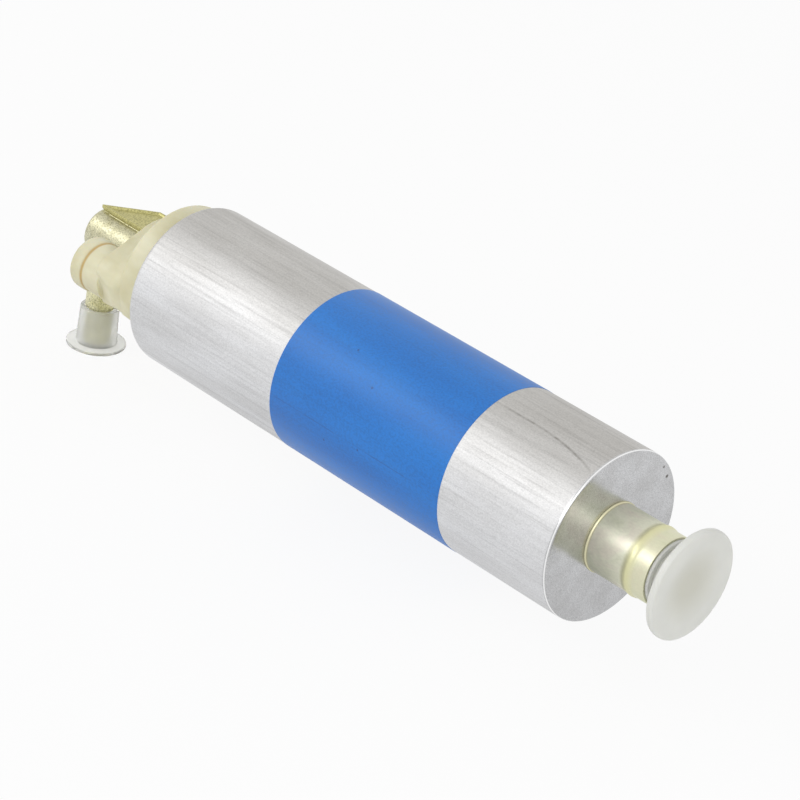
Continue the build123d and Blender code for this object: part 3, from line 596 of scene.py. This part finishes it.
def make_plug():
    node = "inlet_transit_plug"
    start, end, outer = low(node).x, high(node).x, high(node).z
    tip = high("inlet_tube").x
    shank, wall, neck, stop, rim = 7.15, 1.3, 6.8, 8.1, 0.7
    stop_start, stop_end, flange_start = tip + 0.05, tip + 0.85, end - 1.9
    dish = end - 0.9
    outline = [
        # hollow shank
        (start, shank - wall), (start, shank, 0.3), (stop_start, shank),
        # ring that stops at the tube's end, and neck
        (stop_start, stop), (stop_end, stop, 0.3), (stop_end, neck), (flange_start, neck, 0.5),
        # dished flange
        (flange_start, outer, rim), (end, outer, rim), (end - 0.25, 9.0, 1.0), (dish, 6.0, 2.0), (dish, 0),
        # floor of the hollow
        (tip, 0), (tip, shank - wall),
    ]
    mesh = turned_mesh("inlet_plug_cap", outline)
    piece("inlet_plug_cap", mesh, "inlet_plug", node, "white_plastic")


def make_outlet_cap():
    node = "outlet_transit_cap"
    lowest, highest = low(node), high(node)
    place = ((lowest.x + highest.x) / 2, 0, highest.z)
    flange = (highest.x - lowest.x) / 2
    depth = highest.z - lowest.z
    bore, wall, taper, thick, floor, rim, dish = 3.75, 1.4, 0.35, 1.0, 1.4, 0.4, 0.3
    outline = [
        (0, bore), (0, bore + wall, 0.15), (depth - thick, bore + wall + taper, 0.3),
        (depth - thick, flange, rim), (depth, flange, rim), (depth - dish, flange * 0.6, 1.0),
        (depth - dish, 0), (depth - floor, 0), (depth - floor, bore),
    ]
    mesh = turned_mesh("outlet_cap_sleeve", outline, place, down=True, steps=128)
    piece("outlet_cap_sleeve", mesh, "outlet_cap", node, "clear_plastic")


def draw_in_rim(mesh):
    """Leaves the lip standing proud of the moulding's rim. The bosses further out keep their place."""
    inner, outer, depth = 15.0, 20.8, 1.4
    reach, fade = 9.0, 3.0
    for vertex in mesh.vertices:
        x, y, z = vertex.co / MM
        radius = hypot(y, z)
        if x < OUTLET_LIP and radius > inner:
            share = min((radius - inner) / (outer - inner), 1) ** 2
            share *= min(max((x - OUTLET_LIP + reach) / fade, 0), 1)
            scale = 1 - depth * share / radius
            vertex.co = Vector((x, y * scale, z * scale)) * MM


def make_outlet_end():
    cover = remade_mesh("end_cover", voxel=0.25, rounds=3)
    draw_in_rim(cover)
    piece("cover_moulding", cover, "pump_body", "end_cover", "cream_nylon")
    elbow = remade_mesh("outlet_elbow", voxel=0.22, rounds=3)
    piece("elbow_plated", elbow, "pump_body", "outlet_elbow", "yellow_plating")


def make_terminals():
    """Threaded studs with their washers and nuts in the two bosses."""
    threads = {"positive": (2.5, 0.8, 4.0), "negative": (2.0, 0.7, 3.5)}
    lead, head_length, depth_share = 0.4, 1.5, 0.45
    nut_gap, washer_gap, washer_round = 0.02, 0.05, 0.12
    for side, (radius, pitch, half_width) in threads.items():
        stud, nut, washer = side + "_stud", side + "_nut", side + "_washer"
        middle = (low(stud) + high(stud)) / 2
        place = (middle.y, middle.z)
        tip, end, head = low(stud).x, high(stud).x, (high(stud).y - low(stud).y) / 2
        rows = [
            (tip, radius - lead, False), (tip + lead, radius, True), (high(washer).x, radius, False),
            (end - head_length, radius, False), (end - head_length, head, False), (end, head, False),
        ]
        mesh = screw_mesh(side + "_thread", rows, place, pitch, depth_share * pitch)
        piece(side + "_thread", mesh, "pump_body", stud, "bronze")
        mesh = nut_mesh(side + "_hexagon", low(nut).x, high(nut).x, half_width, radius + nut_gap, place)
        piece(side + "_hexagon", mesh, "pump_body", nut, "bright_steel")
        outer, inner = high(washer).z - middle.z, radius + washer_gap
        start, stop = low(washer).x, high(washer).x
        outline = [
            (start, inner), (start, outer, washer_round), (stop, outer, washer_round), (stop, inner),
        ]
        mesh = turned_mesh(side + "_disc", outline, (0, *place), steps=96)
        piece(side + "_disc", mesh, "pump_body", washer, "bright_steel")


def make_springs():
    """Copies of the coils that the record lists as shortening between the piece that moves and the end
    that stays.
    """
    for joint in frame["record"]["behaviour"]["joints"]:
        for row in joint.get("deforming_nodes", ()):
            node = row["node"]
            mesh = frame["nodes"][node].data.copy()
            coil = piece(node + "_coil", mesh, "pump_body", node, "bright_steel")
            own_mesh(coil)


# Stage

def make_camera():
    camera = bpy.data.cameras.new("camera")
    camera.lens = CAMERA_LENS
    camera.sensor_width = SENSOR_WIDTH
    camera.clip_start = 0.01
    camera.clip_end = 20
    made = bpy.data.objects.new("camera", camera)
    right, up = Vector(CAMERA_RIGHT).normalized(), Vector(CAMERA_UP).normalized()
    back = right.cross(up)
    matrix = Matrix((right, up, back)).transposed().to_4x4()
    matrix.translation = Vector(CAMERA_PLACE) * MM
    made.matrix_world = matrix
    bpy.context.scene.collection.objects.link(made)
    bpy.context.scene.camera = made


def seen_rays(nodes, links):
    """1 for rays from the camera, from a mirror or through glass, 0 for rays that light."""
    path = nodes.new("ShaderNodeLightPath")
    total = path.outputs["Is Camera Ray"]
    for name in ("Is Glossy Ray", "Is Transmission Ray"):
        plus = nodes.new("ShaderNodeMath")
        plus.operation = "MAXIMUM"
        links.new(total, plus.inputs[0])
        links.new(path.outputs[name], plus.inputs[1])
        total = plus.outputs[0]
    return total


def make_world(light_level):
    world = bpy.data.worlds.new("studio")
    bpy.context.scene.world = world
    world.use_nodes = True
    nodes, links = world.node_tree.nodes, world.node_tree.links
    light = nodes["Background"]
    seen = nodes.new("ShaderNodeBackground")
    for background, strength in ((light, light_level), (seen, 1.0)):
        background.inputs["Color"].default_value = (1, 1, 1, 1)
        background.inputs["Strength"].default_value = strength
    mix = nodes.new("ShaderNodeMixShader")
    links.new(seen_rays(nodes, links), mix.inputs[0])
    links.new(light.outputs[0], mix.inputs[1])
    links.new(seen.outputs[0], mix.inputs[2])
    links.new(mix.outputs[0], nodes["World Output"].inputs["Surface"])


def make_floor(half_size, whiteness):
    """Plain pale floor under the lowest point of the pump."""
    bottom = cad_box[0][2]
    corners = [(half_size * i, half_size * j) for i, j in ((-1, -1), (1, -1), (1, 1), (-1, 1))]
    mesh = bpy.data.meshes.new("floor")
    mesh.from_pydata([(x, y, bottom) for x, y in corners], [], [(0, 1, 2, 3)])
    material = bpy.data.materials.new("floor")
    material.use_nodes = True
    nodes, links = material.node_tree.nodes, material.node_tree.links
    paper = nodes["Principled BSDF"]
    paper.inputs["Base Color"].default_value = (0.86, 0.86, 0.86, 1)
    paper.inputs["Roughness"].default_value = 0.9
    glow = nodes.new("ShaderNodeEmission")
    amount = nodes.new("ShaderNodeMath")
    amount.operation = "MULTIPLY"
    amount.inputs[1].default_value = whiteness
    links.new(seen_rays(nodes, links), amount.inputs[0])
    mix = nodes.new("ShaderNodeMixShader")
    links.new(amount.outputs[0], mix.inputs[0])
    links.new(paper.outputs[0], mix.inputs[1])
    links.new(glow.outputs[0], mix.inputs[2])
    links.new(mix.outputs[0], nodes["Material Output"].inputs["Surface"])
    mesh.materials.append(material)
    floor = bpy.data.objects.new("floor", mesh)
    bpy.context.scene.collection.objects.link(floor)


def make_lamp(name, place, size, power):
    lamp = bpy.data.lights.new(name, "AREA")
    lamp.shape = "RECTANGLE"
    lamp.size, lamp.size_y = size
    lamp.energy = power
    made = bpy.data.objects.new(name, lamp)
    made.location = place
    made.rotation_euler = (-Vector(place)).to_track_quat("-Z", "Y").to_euler()
    bpy.context.scene.collection.objects.link(made)


make_camera()
make_world(light_level=0.68)
make_floor(half_size=3.0, whiteness=0.9)
make_lamp("key", place=(-0.5, -0.74, 0.58), size=(1.6, 0.4), power=3.8)
make_lamp("fill", place=(0.75, -0.35, 0.35), size=(0.5, 0.5), power=1.5)

dress_cad_nodes()
make_can()
make_band()
make_inlet()
make_plug()
make_outlet_cap()
make_outlet_end()
make_terminals()
make_springs()

bpy.context.scene.view_settings.view_transform = "Standard"
